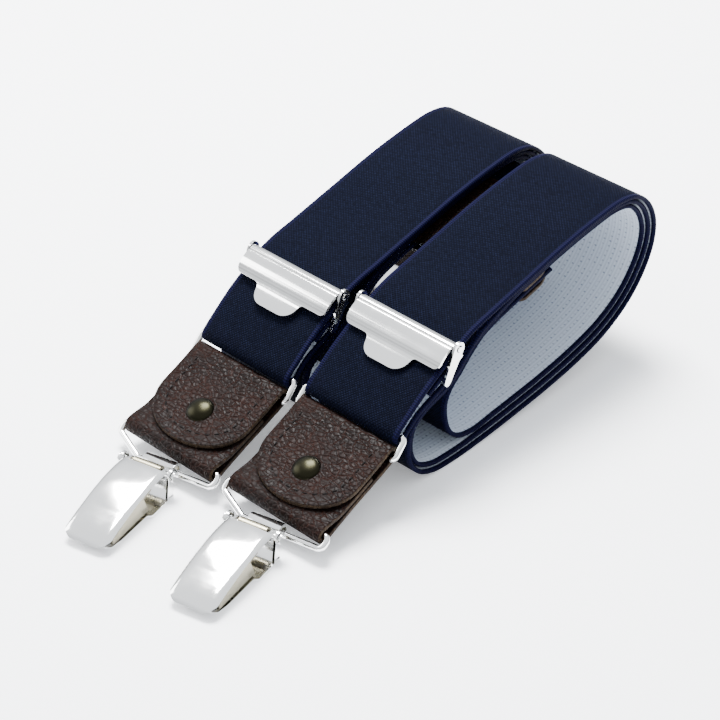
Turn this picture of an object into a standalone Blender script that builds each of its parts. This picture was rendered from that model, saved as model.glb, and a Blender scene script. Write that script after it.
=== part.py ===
"""Clip-on suspenders with a Y back, wound into a flat coil ready for the drawer.

Frame: X runs across the straps, Y along them from the front clips (-Y) to the far
fold of the coil (+Y), Z is up, and Z = 0 is the surface that the coil lies on.
Every piece is its own object in metres.  A hinged piece has its origin on its axis.
"""
import math

import bmesh
import bpy
from mathutils import Matrix, Vector

# ---------------------------------------------------------------- driving sizes
STRAP_WIDTH = 0.035
STRAP_PITCH_X = 0.0403          # centre to centre of the two straps
WEB = 0.0013                    # thickness of the elastic webbing
GAP = 0.0003                    # clearance between pieces that touch
LAYER = WEB + 0.0005            # step from one turn of the coil to the next
COIL_DRIFT = 0.0025             # sideways creep of each strap over its whole length

RING_WIRE = 0.0009              # radius of the rectangular ring's wire
RING_HALF = 0.01875             # half the ring's width, on the wire's centre line
RING_DROP = 0.00673             # distance between the ring's two bars
LOOP_WIRE = 0.0010              # radius of the clip loop's wire
LOOP_HALF = 0.0189
LOOP_NECK = 0.0080              # half the narrow bar that the clip hangs on
LOOP_DROP = 0.0063
NECK_SKEW = math.radians(7.5)   # the narrow bar is bent a little off square
LEATHER = 0.0014
TAB_LENGTH = 0.02907            # ring bar to loop bar
RIVET_AT = 0.0160

# Outer face of the coil's first turn, (y, z), from the top of the slider round the
# far fold and back along the underside.
COIL_OUTER = [(0.012, 0.0439), (0.030, 0.0482), (0.046, 0.0520), (0.062, 0.0547),
              (0.073, 0.0556), (0.081, 0.0538), (0.087, 0.0486), (0.0905, 0.0410),
              (0.0903, 0.0330), (0.0868, 0.0248), (0.080, 0.0168), (0.070, 0.0106),
              (0.058, 0.0067), (0.044, 0.0040), (0.028, 0.0020), (0.014, 0.0007),
              (0.003, 0.0002)]
# Outer face of the near fold, from the underside back up towards the slider.
NEAR_FOLD = [(-0.006, 0.0009), (-0.0122, 0.0038), (-0.0160, 0.0092), (-0.0169, 0.0160),
             (-0.0150, 0.0216), (-0.0105, 0.0252), (-0.0055, 0.0271), (-0.001, 0.0285),
             (0.0035, 0.0316), (0.008, 0.0360), (0.0135, 0.0402)]
# Centre line of the last turn where it stands up inside the near fold.
INNER_WALL = [(0.0125, 0.0047), (0.0062, 0.0062), (0.0022, 0.0105), (0.0006, 0.0165),
              (0.0007, 0.0210), (0.0026, 0.0246), (0.0067, 0.0284), (0.0112, 0.0327),
              (0.0162, 0.0364)]
YOKE_LEATHER = 0.0012
YOKE_CORE = 2 * LAYER + WEB + YOKE_LEATHER + 2 * GAP  # depth of the straps' ends in the yoke
YOKE_X = -0.0025
YOKE_HALF = 0.0378

# Front hardware of each strap, right first: the slider's axis, the ring's upper bar,
# how far the tab leans sideways, and the turn of the clip in degrees.
FRONTS = {
    "right": {"x": STRAP_PITCH_X / 2, "slider": (0.0013, 0.0407), "ring": (-0.0204, 0.0217),
              "lean": 0.0016, "yaw": 12.5},
    "left": {"x": -STRAP_PITCH_X / 2, "slider": (-0.0020, 0.0409), "ring": (-0.0222, 0.0217),
             "lean": 0.0014, "yaw": 13.5},
}
SLIDER_SLOPE = math.radians(33.5)
RING_SLOPE = math.radians(48.0)
TAB_SLOPE = math.radians(19.5)
LOOP_SLOPE = math.radians(39.2)
SLIDER_BAR = (0.0088, -0.0052)  # bar that the strap's end is sewn round, from the axis

# Rear hardware, face down inside the coil.
REAR_X = -0.0215
REAR_TURN = 0.0290              # height at which the rear strap reaches its ring
REAR_RING_SLOPE = math.radians(40.0)
REAR_TAB_SLOPE = math.radians(16.5)
REAR_LOOP_SLOPE = math.radians(-18.0)
REAR_CLIP_SLOPE = math.radians(4.5)

COIL_NESTED = 0.0290            # the turns lie against each other from here on

YOKE_NEAR, YOKE_FAR = 0.0310, 0.0640
YOKE_STRAP_END = 0.0450

SLIDER_PIN = 0.0008
SEWN_BAR = 0.0006
PIN_CLEAR = SLIDER_PIN + GAP + 0.0001
CLIP_PIN = 0.0008
CURL_PLAY = 0.0010              # slack of the clip's curl on the loop's wire
PLATE = 0.0008                  # thickness of the stamped clip parts
PIN_Y, PIN_Z = 0.0062, 0.0040   # the lever's pin, from the loop's narrow bar
EAR_IN, EAR_OUT = 0.0077, 0.0085
COVER_HALF = 0.0074
COVER_START, COVER_TIP = 0.0082, 0.0378
COVER_CORNER = 0.0035           # radius of the two corners at the tip

# Moves the whole piece so that X = Y = 0 is the middle of what it covers.
CENTRING = Vector((-0.0001, 0.0028, -0.00021))

PI = math.pi


# ---------------------------------------------------------------- scene and helpers
def clear_scene():
    for old in list(bpy.data.objects):
        bpy.data.objects.remove(old, do_unlink=True)
    for name in ("suspenders", "cutters"):
        bpy.context.scene.collection.children.link(bpy.data.collections.new(name))


def material(name, colour, roughness, metallic=0.0):
    made = bpy.data.materials.new(name)
    made.use_nodes = True
    shader = made.node_tree.nodes["Principled BSDF"]
    shader.inputs["Base Color"].default_value = (*colour, 1.0)
    shader.inputs["Roughness"].default_value = roughness
    shader.inputs["Metallic"].default_value = metallic
    return made


def add_object(name, mesh, finish, place=Matrix.Identity(4), collection="suspenders"):
    piece = bpy.data.objects.new(name, mesh)
    bpy.data.collections[collection].objects.link(piece)
    piece.matrix_world = place
    if finish:
        mesh.materials.append(finish)
    return piece


def placement(origin, along, outward):
    """Matrix whose Y is along, whose Z is outward, and whose X completes the frame."""
    y = Vector(along).normalized()
    z = (Vector(outward) - y * Vector(outward).dot(y)).normalized()
    x = y.cross(z)
    turn = Matrix((x, y, z)).transposed().to_4x4()
    return Matrix.Translation(Vector(origin)) @ turn


def front_place(x, point, slope, yaw=0.0):
    """Frame of a front piece that slopes down towards -Y, its face up."""
    turn = Matrix.Rotation(yaw, 3, "Z")
    along = turn @ Vector((0.0, -math.cos(slope), -math.sin(slope)))
    outward = turn @ Vector((0.0, -math.sin(slope), math.cos(slope)))
    return placement((x, point[0], point[1]), along, outward)


def rear_place(x, point, slope):
    """Frame of a rear piece that slopes down towards -Y, its face down."""
    along = (0.0, -math.cos(slope), -math.sin(slope))
    outward = (0.0, math.sin(slope), -math.cos(slope))
    return placement((x, point[0], point[1]), along, outward)


def step_down(point, length, slope):
    return (point[0] - length * math.cos(slope), point[1] - length * math.sin(slope))


# ---------------------------------------------------------------- curves in the YZ plane
def smooth(points, spacing=0.0004):
    """Centripetal Catmull-Rom curve through the points, sampled finely."""
    pts = [Vector(p) for p in points]
    pts = [pts[0] * 2 - pts[1]] + pts + [pts[-1] * 2 - pts[-2]]
    out = []
    for i in range(1, len(pts) - 2):
        p0, p1, p2, p3 = pts[i - 1:i + 3]
        t1 = (p1 - p0).length ** 0.5
        t2 = t1 + (p2 - p1).length ** 0.5
        t3 = t2 + (p3 - p2).length ** 0.5
        count = max(2, int((p2 - p1).length / spacing))
        for k in range(count):
            t = t1 + (t2 - t1) * k / count
            a1 = p0 * ((t1 - t) / t1) + p1 * (t / t1)
            a2 = p1 * ((t2 - t) / (t2 - t1)) + p2 * ((t - t1) / (t2 - t1))
            a3 = p2 * ((t3 - t) / (t3 - t2)) + p3 * ((t - t2) / (t3 - t2))
            b1 = a1 * ((t2 - t) / t2) + a2 * (t / t2)
            b2 = a2 * ((t3 - t) / (t3 - t1)) + a3 * ((t - t1) / (t3 - t1))
            out.append(b1 * ((t2 - t) / (t2 - t1)) + b2 * ((t - t1) / (t2 - t1)))
    out.append(pts[-2])
    return out


def side_of(points, i):
    """Unit vector to the right of the path at point i."""
    a = points[max(i - 1, 0)]
    b = points[min(i + 1, len(points) - 1)]
    run = (b - a).normalized()
    return Vector((run.y, -run.x))


def inset(points, distance):
    """The path moved to its right-hand side, which is the coil's inside."""
    return [p + side_of(points, i) * distance for i, p in enumerate(points)]


def thin(points, turn=math.radians(8.0), reach=0.009):
    """Keep only the points that the path's bends need."""
    kept = [points[0]]
    last = points[1] - points[0]
    for i in range(1, len(points) - 1):
        run = points[i + 1] - points[i]
        if last.angle(run, 0.0) > turn or (points[i] - kept[-1]).length > reach:
            kept.append(points[i])
            last = run
    return kept + [points[-1]]


def arc(centre, radius, start, end, count):
    """Points on an arc in the YZ plane, angles measured from +Y towards +Z."""
    angles = [start + (end - start) * k / count for k in range(count + 1)]
    return [Vector((centre[0] + radius * math.cos(a), centre[1] + radius * math.sin(a)))
            for a in angles]


# ---------------------------------------------------------------- solids
def strip(path, thickness, half_widths, shifts=None):
    """Band of rectangular section that follows a path in the YZ plane."""
    count = len(path)
    halves = half_widths if isinstance(half_widths, list) else [half_widths] * count
    moved = shifts or [0.0] * count
    mesh = bmesh.new()
    rings = []
    for i, p in enumerate(path):
        side = side_of(path, i)
        if 0 < i < count - 1:
            before = (path[i] - path[i - 1]).normalized()
            after = (path[i + 1] - path[i]).normalized()
            bend = max(0.5, math.sqrt(max(0.0, (1.0 + before.dot(after)) / 2.0)))
            side = side / bend
        upper = p - side * thickness / 2
        lower = p + side * thickness / 2
        left, right = moved[i] - halves[i], moved[i] + halves[i]
        corners = ((left, upper), (right, upper), (right, lower), (left, lower))
        rings.append([mesh.verts.new((x, c.x, c.y)) for x, c in corners])
    for a, b in zip(rings, rings[1:]):
        for k in range(4):
            mesh.faces.new((a[k], a[(k + 1) % 4], b[(k + 1) % 4], b[k]))
    mesh.faces.new(rings[0][::-1])
    mesh.faces.new(rings[-1])
    bmesh.ops.recalc_face_normals(mesh, faces=mesh.faces)
    return finished(mesh, "strip")


def finished(mesh, name):
    data = bpy.data.meshes.new(name)
    mesh.to_mesh(data)
    mesh.free()
    return data


def slab(outline, low, high):
    """Flat outline in the YZ plane, given thickness along X."""
    mesh = bmesh.new()
    near = [mesh.verts.new((low, y, z)) for y, z in outline]
    far = [mesh.verts.new((high, y, z)) for y, z in outline]
    mesh.faces.new(near)
    mesh.faces.new(far[::-1])
    count = len(outline)
    for k in range(count):
        mesh.faces.new((near[k], near[(k + 1) % count], far[(k + 1) % count], far[k]))
    bmesh.ops.recalc_face_normals(mesh, faces=mesh.faces)
    return finished(mesh, "slab")


def block(size, centre):
    mesh = bmesh.new()
    bmesh.ops.create_cube(mesh, size=1.0)
    bmesh.ops.scale(mesh, vec=size, verts=mesh.verts)
    bmesh.ops.translate(mesh, vec=centre, verts=mesh.verts)
    return finished(mesh, "block")


def rod(radius, half_length, centre=(0.0, 0.0, 0.0), sides=16, axis="X"):
    mesh = bmesh.new()
    bmesh.ops.create_cone(mesh, cap_ends=True, segments=sides, radius1=radius,
                          radius2=radius, depth=2 * half_length)
    if axis == "X":
        bmesh.ops.rotate(mesh, matrix=Matrix.Rotation(PI / 2, 3, "Y"), verts=mesh.verts)
    bmesh.ops.translate(mesh, vec=centre, verts=mesh.verts)
    return finished(mesh, "rod")


def cutter(mesh, name):
    tool = add_object(name, mesh, None, collection="cutters")
    tool.hide_render = True
    tool.display_type = "WIRE"
    return tool


def combine(mesh, others, operation):
    """Boolean the other meshes into the first and return the result as a mesh."""
    base = add_object("work", mesh, None, collection="cutters")
    for k, other in enumerate(others):
        tool = cutter(other, f"tool_{k}")
        change = base.modifiers.new(f"change_{k}", "BOOLEAN")
        change.operation = operation
        change.object = tool
    graph = bpy.context.evaluated_depsgraph_get()
    result = bpy.data.meshes.new_from_object(base.evaluated_get(graph))
    for k in range(len(others)):
        bpy.data.objects.remove(bpy.data.objects[f"tool_{k}"], do_unlink=True)
    bpy.data.objects.remove(base, do_unlink=True)
    result.materials.clear()
    return result


def rounded(corners, radii, steps=3):
    """Outline through the corners with each one turned on its own radius."""
    out = []
    count = len(corners)
    for i, radius in enumerate(radii):
        here = Vector(corners[i])
        to_last = (Vector(corners[i - 1]) - here).normalized()
        to_next = (Vector(corners[(i + 1) % count]) - here).normalized()
        if radius <= 0.0:
            out.append(here)
            continue
        half = to_last.angle(to_next) / 2
        centre = here + (to_last + to_next).normalized() * radius / math.sin(half)
        start = here + to_last * radius / math.tan(half) - centre
        sweep = start.angle_signed(here + to_next * radius / math.tan(half) - centre)
        for k in range(steps + 1):
            turn = Matrix.Rotation(-sweep * k / steps, 2)
            out.append(centre + turn @ start)
    return out


def wire_loop(name, corners, radii, radius, finish, place):
    """Closed loop of round wire through corners in its own XY plane."""
    curve = bpy.data.curves.new(name, "CURVE")
    curve.dimensions = "3D"
    curve.bevel_depth = radius
    curve.bevel_resolution = 2
    points = rounded(corners, radii)
    spline = curve.splines.new("POLY")
    spline.points.add(len(points) - 1)
    for point, (x, y) in zip(spline.points, points):
        point.co = (x, y, 0.0, 1.0)
    spline.use_cyclic_u = True
    piece = bpy.data.objects.new(name, curve)
    bpy.data.collections["suspenders"].objects.link(piece)
    piece.matrix_world = place
    curve.materials.append(finish)
    return piece


def shade(piece, angle=math.radians(35.0)):
    piece.data.shade_smooth()
    piece.data.set_sharp_from_angle(angle=angle)


# ---------------------------------------------------------------- webbing
def coil_turn(depth, start=0.0, end=1.0, spacing=5):
    """Points of one turn of the coil, from the top round to the near fold, at a depth."""
    turn = inset(smooth(COIL_OUTER + NEAR_FOLD), depth)
    first = next(i for i, p in enumerate(turn) if p.x >= start)
    last = int((len(turn) - 1) * end)
    return turn[first:last:spacing]


def strap_path(front):
    """Centre line of a strap, from its sewn end to its end inside the yoke."""
    slider = Vector(front["slider"])
    down = Vector((-math.cos(SLIDER_SLOPE), -math.sin(SLIDER_SLOPE)))
    out = Vector((-math.sin(SLIDER_SLOPE), math.cos(SLIDER_SLOPE)))
    bar = slider + down * SLIDER_BAR[0] + out * SLIDER_BAR[1]
    ring = Vector(front["ring"])
    run = (ring - bar).normalized()
    face = Vector((run.y, -run.x))
    round_bar = half_turn(bar, -run, SEWN_BAR + GAP + WEB / 2)
    round_ring = half_turn(ring, run, RING_WIRE + GAP + WEB / 2)
    tail = [round_bar[0] + run * 0.0060, round_bar[0] + run * 0.0030]
    leg = round_ring[0] - round_bar[-1]
    back_leg = [round_bar[-1] + leg * part + face * rise
                for part, rise in ((0.30, 0.0007), (0.60, 0.0014), (0.85, 0.0007))]
    under_pin = slider - out * (PIN_CLEAR + WEB / 2)
    leg = under_pin - round_ring[-1]
    front_leg = [round_ring[-1] + leg * part + face * rise
                 for part, rise in ((0.2, 0.0005), (0.5, 0.0009), (0.8, 0.0004))]
    join = (under_pin + Vector(COIL_OUTER[0])) / 2 + Vector((0.0002, 0.0002))
    middle = WEB / 2
    points = tail + round_bar + back_leg + round_ring + front_leg + [under_pin, join]
    points += coil_turn(middle)
    points += coil_turn(middle + LAYER, COIL_NESTED)
    points += [p for p in coil_turn(middle + 2 * LAYER, COIL_NESTED, 0.70) if p.y > 0.03
               or p.x > 0.020]
    points += [Vector(p) for p in INNER_WALL]
    points += [yoke_line(y) for y in (0.032, 0.038, YOKE_STRAP_END)]
    return smooth(points)


def half_turn(centre, away, radius):
    """Half circle that starts beside the centre, passes it on the far side and returns.

    The path bends clockwise about the centre, whose far side is towards away.
    """
    left = Vector((-away.y, away.x))
    return [centre + (left * math.cos(a) + away * math.sin(a)) * radius
            for a in (PI * k / 4 for k in range(5))]


def yoke_line(y, depth=YOKE_CORE + WEB / 2):
    """Point at y on the coil's top run, at a depth below its outer face."""
    line = inset(smooth(COIL_OUTER[:6]), depth)
    return min(line, key=lambda p: abs(p.x - y))


def creep(path, start, end, amount):
    """Sideways shift that grows evenly along part of a path."""
    length = [0.0]
    for a, b in zip(path, path[1:]):
        length.append(length[-1] + (b - a).length)
    begin, finish = start * length[-1], end * length[-1]
    return [amount * min(1.0, max(0.0, (s - begin) / (finish - begin))) for s in length]


def make_strap(name, front, finish):
    path = thin(strap_path(front))
    shifts = creep(path, 0.12, 1.0, -COIL_DRIFT)
    mesh = strip(path, WEB, STRAP_WIDTH / 2, shifts)
    return add_object(name, mesh, finish, Matrix.Translation((front["x"], 0.0, 0.0)))


def rear_run():
    """Centre line of the rear strap from the yoke to its ring, and the ring's place."""
    turn = coil_turn(YOKE_CORE + WEB / 2, YOKE_STRAP_END + 0.0025, spacing=1)
    last = next(i for i, p in enumerate(turn) if p.x > 0.07 and p.y < REAR_TURN)
    run = (turn[last] - turn[last - 4]).normalized()
    face = Vector((run.y, -run.x))
    ring = turn[last] + face * (RING_WIRE + GAP + WEB / 2)
    return turn[:last:5], ring, run


def make_rear_strap(name, finish):
    """The single strap below the yoke, which ends round the rear ring."""
    points, ring, run = rear_run()
    turn = half_turn(ring, run, RING_WIRE + GAP + WEB / 2)
    face = Vector((run.y, -run.x))
    back = [turn[-1] - run * 0.004 + face * 0.0002, turn[-1] - run * 0.010 + face * 0.0009]
    path = thin(smooth(points + turn + back))
    shifts = creep(path, 0.20, 0.66, REAR_X - YOKE_X)
    mesh = strip(path, WEB, STRAP_WIDTH / 2, shifts)
    return add_object(name, mesh, finish, Matrix.Translation((YOKE_X, 0.0, 0.0)))


def make_yoke_plate(name, depth, finish):
    """Leather plate that tapers from both straps to the single rear one."""
    steps = 12
    rows = [YOKE_NEAR + (YOKE_FAR - YOKE_NEAR) * k / steps for k in range(steps + 1)]
    path = [yoke_line(y, depth + YOKE_LEATHER / 2) for y in rows]
    narrow = STRAP_WIDTH / 2 + 0.002
    halves = []
    for k in range(steps + 1):
        part = k / steps
        corner = 0.0025 * max(0.0, 1.0 - part * steps / 1.5) ** 2
        taper = 0.5 - 0.5 * math.cos(PI * min(1.0, max(0.0, (part - 0.25) / 0.75)))
        halves.append(YOKE_HALF + (narrow - YOKE_HALF) * taper - corner)
    mesh = strip(path, YOKE_LEATHER, halves)
    return add_object(name, mesh, finish, Matrix.Translation((YOKE_X, 0.0, 0.0)))


# ---------------------------------------------------------------- slider
def make_slider(side, front, metal):
    place = front_place(front["x"], front["slider"], SLIDER_SLOPE)
    inner, outer = STRAP_WIDTH / 2 + 0.0004, STRAP_WIDTH / 2 + 0.0012
    bar_y, bar_z = SLIDER_BAR
    aim = math.atan2(bar_z, bar_y)
    cheek = arc((0.0, 0.0), 0.0021, aim + PI / 2, aim + 3 * PI / 2, 8)
    cheek += arc((bar_y, bar_z), 0.0012, aim - PI / 2, aim + PI / 2, 4)
    under = -PIN_CLEAR - WEB - GAP
    grip = [(0.0002, under), (0.0042, under), (0.0042, under - 0.0008),
            (0.0002, under - 0.0008)]
    parts = [slab(cheek, inner, outer), rod(SEWN_BAR, outer - 0.0001, (0.0, bar_y, bar_z), 10),
             slab(grip, -outer + 0.0002, outer - 0.0002)]
    mesh = combine(slab(cheek, -outer, -inner), parts, "UNION")
    hole = rod(SLIDER_PIN + GAP, outer + 0.002)
    mesh = combine(mesh, [hole], "DIFFERENCE")
    shade(add_object(f"slider_frame_{side}", mesh, metal, place))

    half = STRAP_WIDTH / 2 + 0.0001
    flap = smooth([(-0.0009, 0.0004), (0.0, 0.0012), (0.0030, 0.0019), (0.0060, 0.0016),
                   (0.0086, 0.0004)])
    tongue = smooth([(0.0078, 0.0008), (0.0100, 0.0003), (0.0142, 0.0004)])
    tongue = thin(tongue, reach=0.0012)
    widths = [0.0074, 0.0074]
    while len(widths) < len(tongue):
        part = (len(widths) - 1) / (len(tongue) - 2)
        widths.append(0.0074 - 0.0034 * part ** 2)
    parts = [strip(tongue, 0.0007, widths), rod(SLIDER_PIN, outer + 0.0003, sides=14)]
    mesh = combine(strip(thin(flap), 0.0008, half), parts, "UNION")
    shade(add_object(f"slider_lever_{side}", mesh, metal, place))


# ---------------------------------------------------------------- ring, tab and rivet
def make_ring(name, place, metal):
    corners = [(-RING_HALF, 0.0), (RING_HALF, 0.0), (RING_HALF, RING_DROP),
               (-RING_HALF, RING_DROP)]
    wire_loop(name, corners, [0.0016] * 4, RING_WIRE, metal, place)


def tab_path():
    """Leather strip: rounded tongue, over the ring, down the back, round the loop, up."""
    over_ring = RING_WIRE + GAP + LEATHER / 2
    over_loop = LOOP_WIRE + GAP + LEATHER / 2
    points = [(0.0275, 0.0034), (0.0235, 0.0025), (0.0190, 0.0020), (0.0120, 0.0019),
              (0.0050, 0.0020)]
    points += [tuple(p) for p in arc((0.0, 0.0), over_ring, PI / 2, 3 * PI / 2, 6)]
    points += [(0.0060, -0.0017), (0.0160, -0.0016), (0.0240, -0.0018)]
    points += [tuple(p) for p in arc((TAB_LENGTH, 0.0), over_loop, -PI / 2, PI / 2, 6)]
    points += [(0.0255, 0.0012), (0.0225, 0.0004), (0.0160, 0.0001), (0.0080, 0.0001)]
    return thin(smooth(points), reach=0.006)


def make_tab(side, place, lean, leather, brass):
    path = tab_path()
    half = STRAP_WIDTH / 2
    straight, tip = 0.0130, 0.0275
    halves = []
    for i, p in enumerate(path):
        on_tongue = p.y > 0 and i < len(path) / 3
        part = max(0.0, (p.x - straight) / (tip - straight)) if on_tongue else 0.0
        halves.append(max(0.0035, half * math.sqrt(max(0.0, 1.0 - part ** 2))))
    shifts = [-lean * p.x / TAB_LENGTH for p in path]
    mesh = strip(path, LEATHER, halves, shifts)
    centre = -lean * RIVET_AT / TAB_LENGTH
    hole = rod(0.0016, 0.006, (centre, RIVET_AT, 0.0), 12, axis="Z")
    mesh = combine(mesh, [hole], "DIFFERENCE")
    add_object(f"leather_tab_{side}", mesh, leather, place)

    top = 0.0019 + LEATHER / 2 + GAP
    low = -0.0016 - LEATHER / 2 - GAP
    seat = place @ Matrix.Translation((centre, RIVET_AT, 0.0))
    dome = [(0.0001, top + 0.0014), (0.0015, top + 0.0013), (0.0028, top + 0.0010),
            (0.0037, top + 0.0006), (0.0041, top + 0.0002), (0.0041, top),
            (0.0013, top), (0.0013, low + 0.0001), (0.0001, low + 0.0001)]
    turned(f"rivet_cap_{side}", dome, brass, seat)
    base = [(0.0001, low - GAP), (0.0034, low - GAP), (0.0034, low - 0.0005),
            (0.0030, low - 0.0009), (0.0001, low - 0.0009)]
    turned(f"rivet_back_{side}", base, brass, seat)


def turned(name, profile, finish, place, steps=16):
    """Profile in (radius, height), top to bottom, turned about Z and capped on the axis."""
    mesh = bmesh.new()
    points = [(0.0, profile[0][1])] + profile[1:-1] + [(0.0, profile[-1][1])]
    verts = [mesh.verts.new((r, 0.0, h)) for r, h in points]
    for a, b in zip(verts, verts[1:]):
        mesh.edges.new((a, b))
    piece = add_object(name, finished(mesh, name), finish, place)
    screw = piece.modifiers.new("turn", "SCREW")
    screw.axis = "Z"
    screw.steps = steps
    screw.render_steps = steps
    screw.use_merge_vertices = True
    screw.merge_threshold = 0.00005
    return piece


# ---------------------------------------------------------------- clip
def make_loop(name, place, skew, metal):
    rise = LOOP_NECK * math.tan(skew)
    corners = [(-LOOP_HALF, 0.0), (LOOP_HALF, 0.0), (LOOP_HALF, 0.0037),
               (LOOP_NECK + 0.0006, LOOP_DROP + rise), (-LOOP_NECK - 0.0006, LOOP_DROP - rise),
               (-LOOP_HALF, 0.0037)]
    wire_loop(name, corners, [0.0016] * 6,
              LOOP_WIRE, metal, place)


def cover_height(y):
    """Height of the lever's outer face on its centre line, y from the loop's bar."""
    line = smooth([(0.0078, 0.0066), (0.0110, 0.0068), (0.0160, 0.0066), (0.0220, 0.0056),
                   (0.0280, 0.0041), (0.0330, 0.0026), (0.0356, 0.0015), (0.0369, 0.0006),
                   (0.0378, -0.0005)])
    return min(line, key=lambda p: abs(p.x - y)).y


def cover_half(y):
    """Half width of the lever: straight sides and two rounded corners at the tip."""
    over = max(0.0, y - (COVER_TIP - COVER_CORNER))
    return COVER_HALF - COVER_CORNER + math.sqrt(max(0.0, COVER_CORNER ** 2 - over ** 2))


def cover_mesh():
    """Nearly flat plate with its sides rolled down, thickened inwards."""
    mesh = bmesh.new()
    rows = [COVER_START, 0.0110, 0.0150, 0.0190, 0.0230, 0.0270, 0.0310]
    bend = COVER_TIP - COVER_CORNER
    rows += [bend + COVER_CORNER * math.sin(PI / 2 * k / 6) for k in range(7)]
    across = [-1.0, -0.96, -0.88, -0.6, -0.2, 0.2, 0.6, 0.88, 0.96, 1.0]
    grid = []
    for y in rows:
        half = cover_half(y)
        line = []
        for u in across:
            wide = abs(u * half) / COVER_HALF
            roll = 0.0003 * wide ** 2 + 0.0008 * wide ** 12
            line.append(mesh.verts.new((u * half, y, cover_height(y) - roll)))
        grid.append(line)
    for a, b in zip(grid, grid[1:]):
        for k in range(len(across) - 1):
            mesh.faces.new((a[k], a[k + 1], b[k + 1], b[k]))
    bmesh.ops.recalc_face_normals(mesh, faces=mesh.faces)
    if sum(f.normal.z for f in mesh.faces) < 0:
        bmesh.ops.reverse_faces(mesh, faces=mesh.faces)
    piece = add_object("cover_skin", finished(mesh, "cover_skin"), None, collection="cutters")
    shell = piece.modifiers.new("plate", "SOLIDIFY")
    shell.thickness = PLATE
    shell.offset = -1.0
    graph = bpy.context.evaluated_depsgraph_get()
    data = bpy.data.meshes.new_from_object(piece.evaluated_get(graph))
    bpy.data.objects.remove(piece, do_unlink=True)
    return data


def pin_hole(reach):
    return rod(CLIP_PIN + GAP, reach, (0.0, PIN_Y, PIN_Z))


def make_clip(side, neck, metal, dull, grey):
    """Clip whose frame has the loop's narrow bar as its X axis and its base below it."""
    bend = LOOP_WIRE + CURL_PLAY + PLATE / 2
    curl = arc((0.0, 0.0), bend, math.radians(55), math.radians(270), 9)
    floor = -bend
    base = [tuple(p) for p in curl] + [(0.0048, floor), (0.0068, floor), (0.0172, floor),
                                       (0.0182, floor), (0.0300, floor), (0.0340, floor),
                                       (0.0352, floor + 0.0003)]
    base = [Vector(p) for p in base]
    halves = [0.0052] * len(curl) + [0.0064, 0.0088, 0.0088, 0.0076, 0.0074, 0.0068, 0.0056]
    ear = arc((PIN_Y, PIN_Z), 0.0023, math.radians(-15), math.radians(195), 9)
    ear += [Vector((0.0072, floor - 0.0001)), Vector((0.0094, floor - 0.0001))]
    ears = [slab(ear, s * EAR_IN, s * EAR_OUT) for s in (-1, 1)]
    mesh = combine(strip(base, PLATE, halves), ears, "UNION")
    mesh = combine(mesh, [pin_hole(0.012)], "DIFFERENCE")
    shade(add_object(f"clip_base_{side}", mesh, metal, neck))

    pin_place = neck @ Matrix.Translation((0.0, PIN_Y, PIN_Z))
    lugs = []
    for s in (-1, 1):
        outline = arc((PIN_Y, PIN_Z), 0.0018, 0.75 * PI, 2 * PI, 8)
        outline += [Vector((0.0118, 0.0062)), Vector((0.0092, 0.0061))]
        lugs.append(slab(outline, s * 0.0055, s * 0.0063))
    mesh = combine(cover_mesh(), lugs, "UNION")
    mesh = combine(mesh, [pin_hole(0.012)], "DIFFERENCE")
    mesh.transform(Matrix.Translation((0.0, -PIN_Y, -PIN_Z)))
    shade(add_object(f"clip_lever_{side}", mesh, metal, pin_place))

    plate = thin(smooth([(0.0076, 0.0040), (0.0120, 0.0040), (0.0180, 0.0033), (0.0240, 0.0019),
                         (0.0300, 0.0004), (0.0332, -0.0003), (0.0344, -0.0009)]), reach=0.003)
    jaw_half = 0.0063
    widths = [0.0048 if p.x < 0.0115 else jaw_half - max(0.0, p.x - 0.027) * 0.08 for p in plate]
    wall = [(0.0185, 0.0044), (0.0240, 0.0034), (0.0290, 0.0018), (0.0335, 0.0002),
            (0.0335, -0.0014), (0.0165, -0.0014)]
    parts = [slab(wall, s * (jaw_half - 0.0002), s * (jaw_half + 0.0006)) for s in (-1, 1)]
    parts.append(rod(0.0019, 0.0045, (0.0, PIN_Y, PIN_Z), 14))
    mesh = combine(strip(plate, PLATE, widths), parts, "UNION")
    mesh = combine(mesh, [pin_hole(0.012)], "DIFFERENCE")
    mesh.transform(Matrix.Translation((0.0, -PIN_Y, -PIN_Z)))
    shade(add_object(f"clip_jaw_{side}", mesh, dull, pin_place))

    heads = [rod(0.0016, 0.00025, (s * (EAR_OUT + GAP + 0.00025), 0.0, 0.0), 14)
             for s in (-1, 1)]
    mesh = combine(rod(CLIP_PIN, EAR_OUT + GAP + 0.0004, sides=14), heads, "UNION")
    shade(add_object(f"clip_pin_{side}", mesh, metal, pin_place))

    top = floor + PLATE / 2 + GAP
    pad = block((0.0104, 0.0095, 0.0006), (0.0, 0.0287, top + 0.0003))
    add_object(f"grip_pad_{side}", pad, grey, neck)


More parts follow.
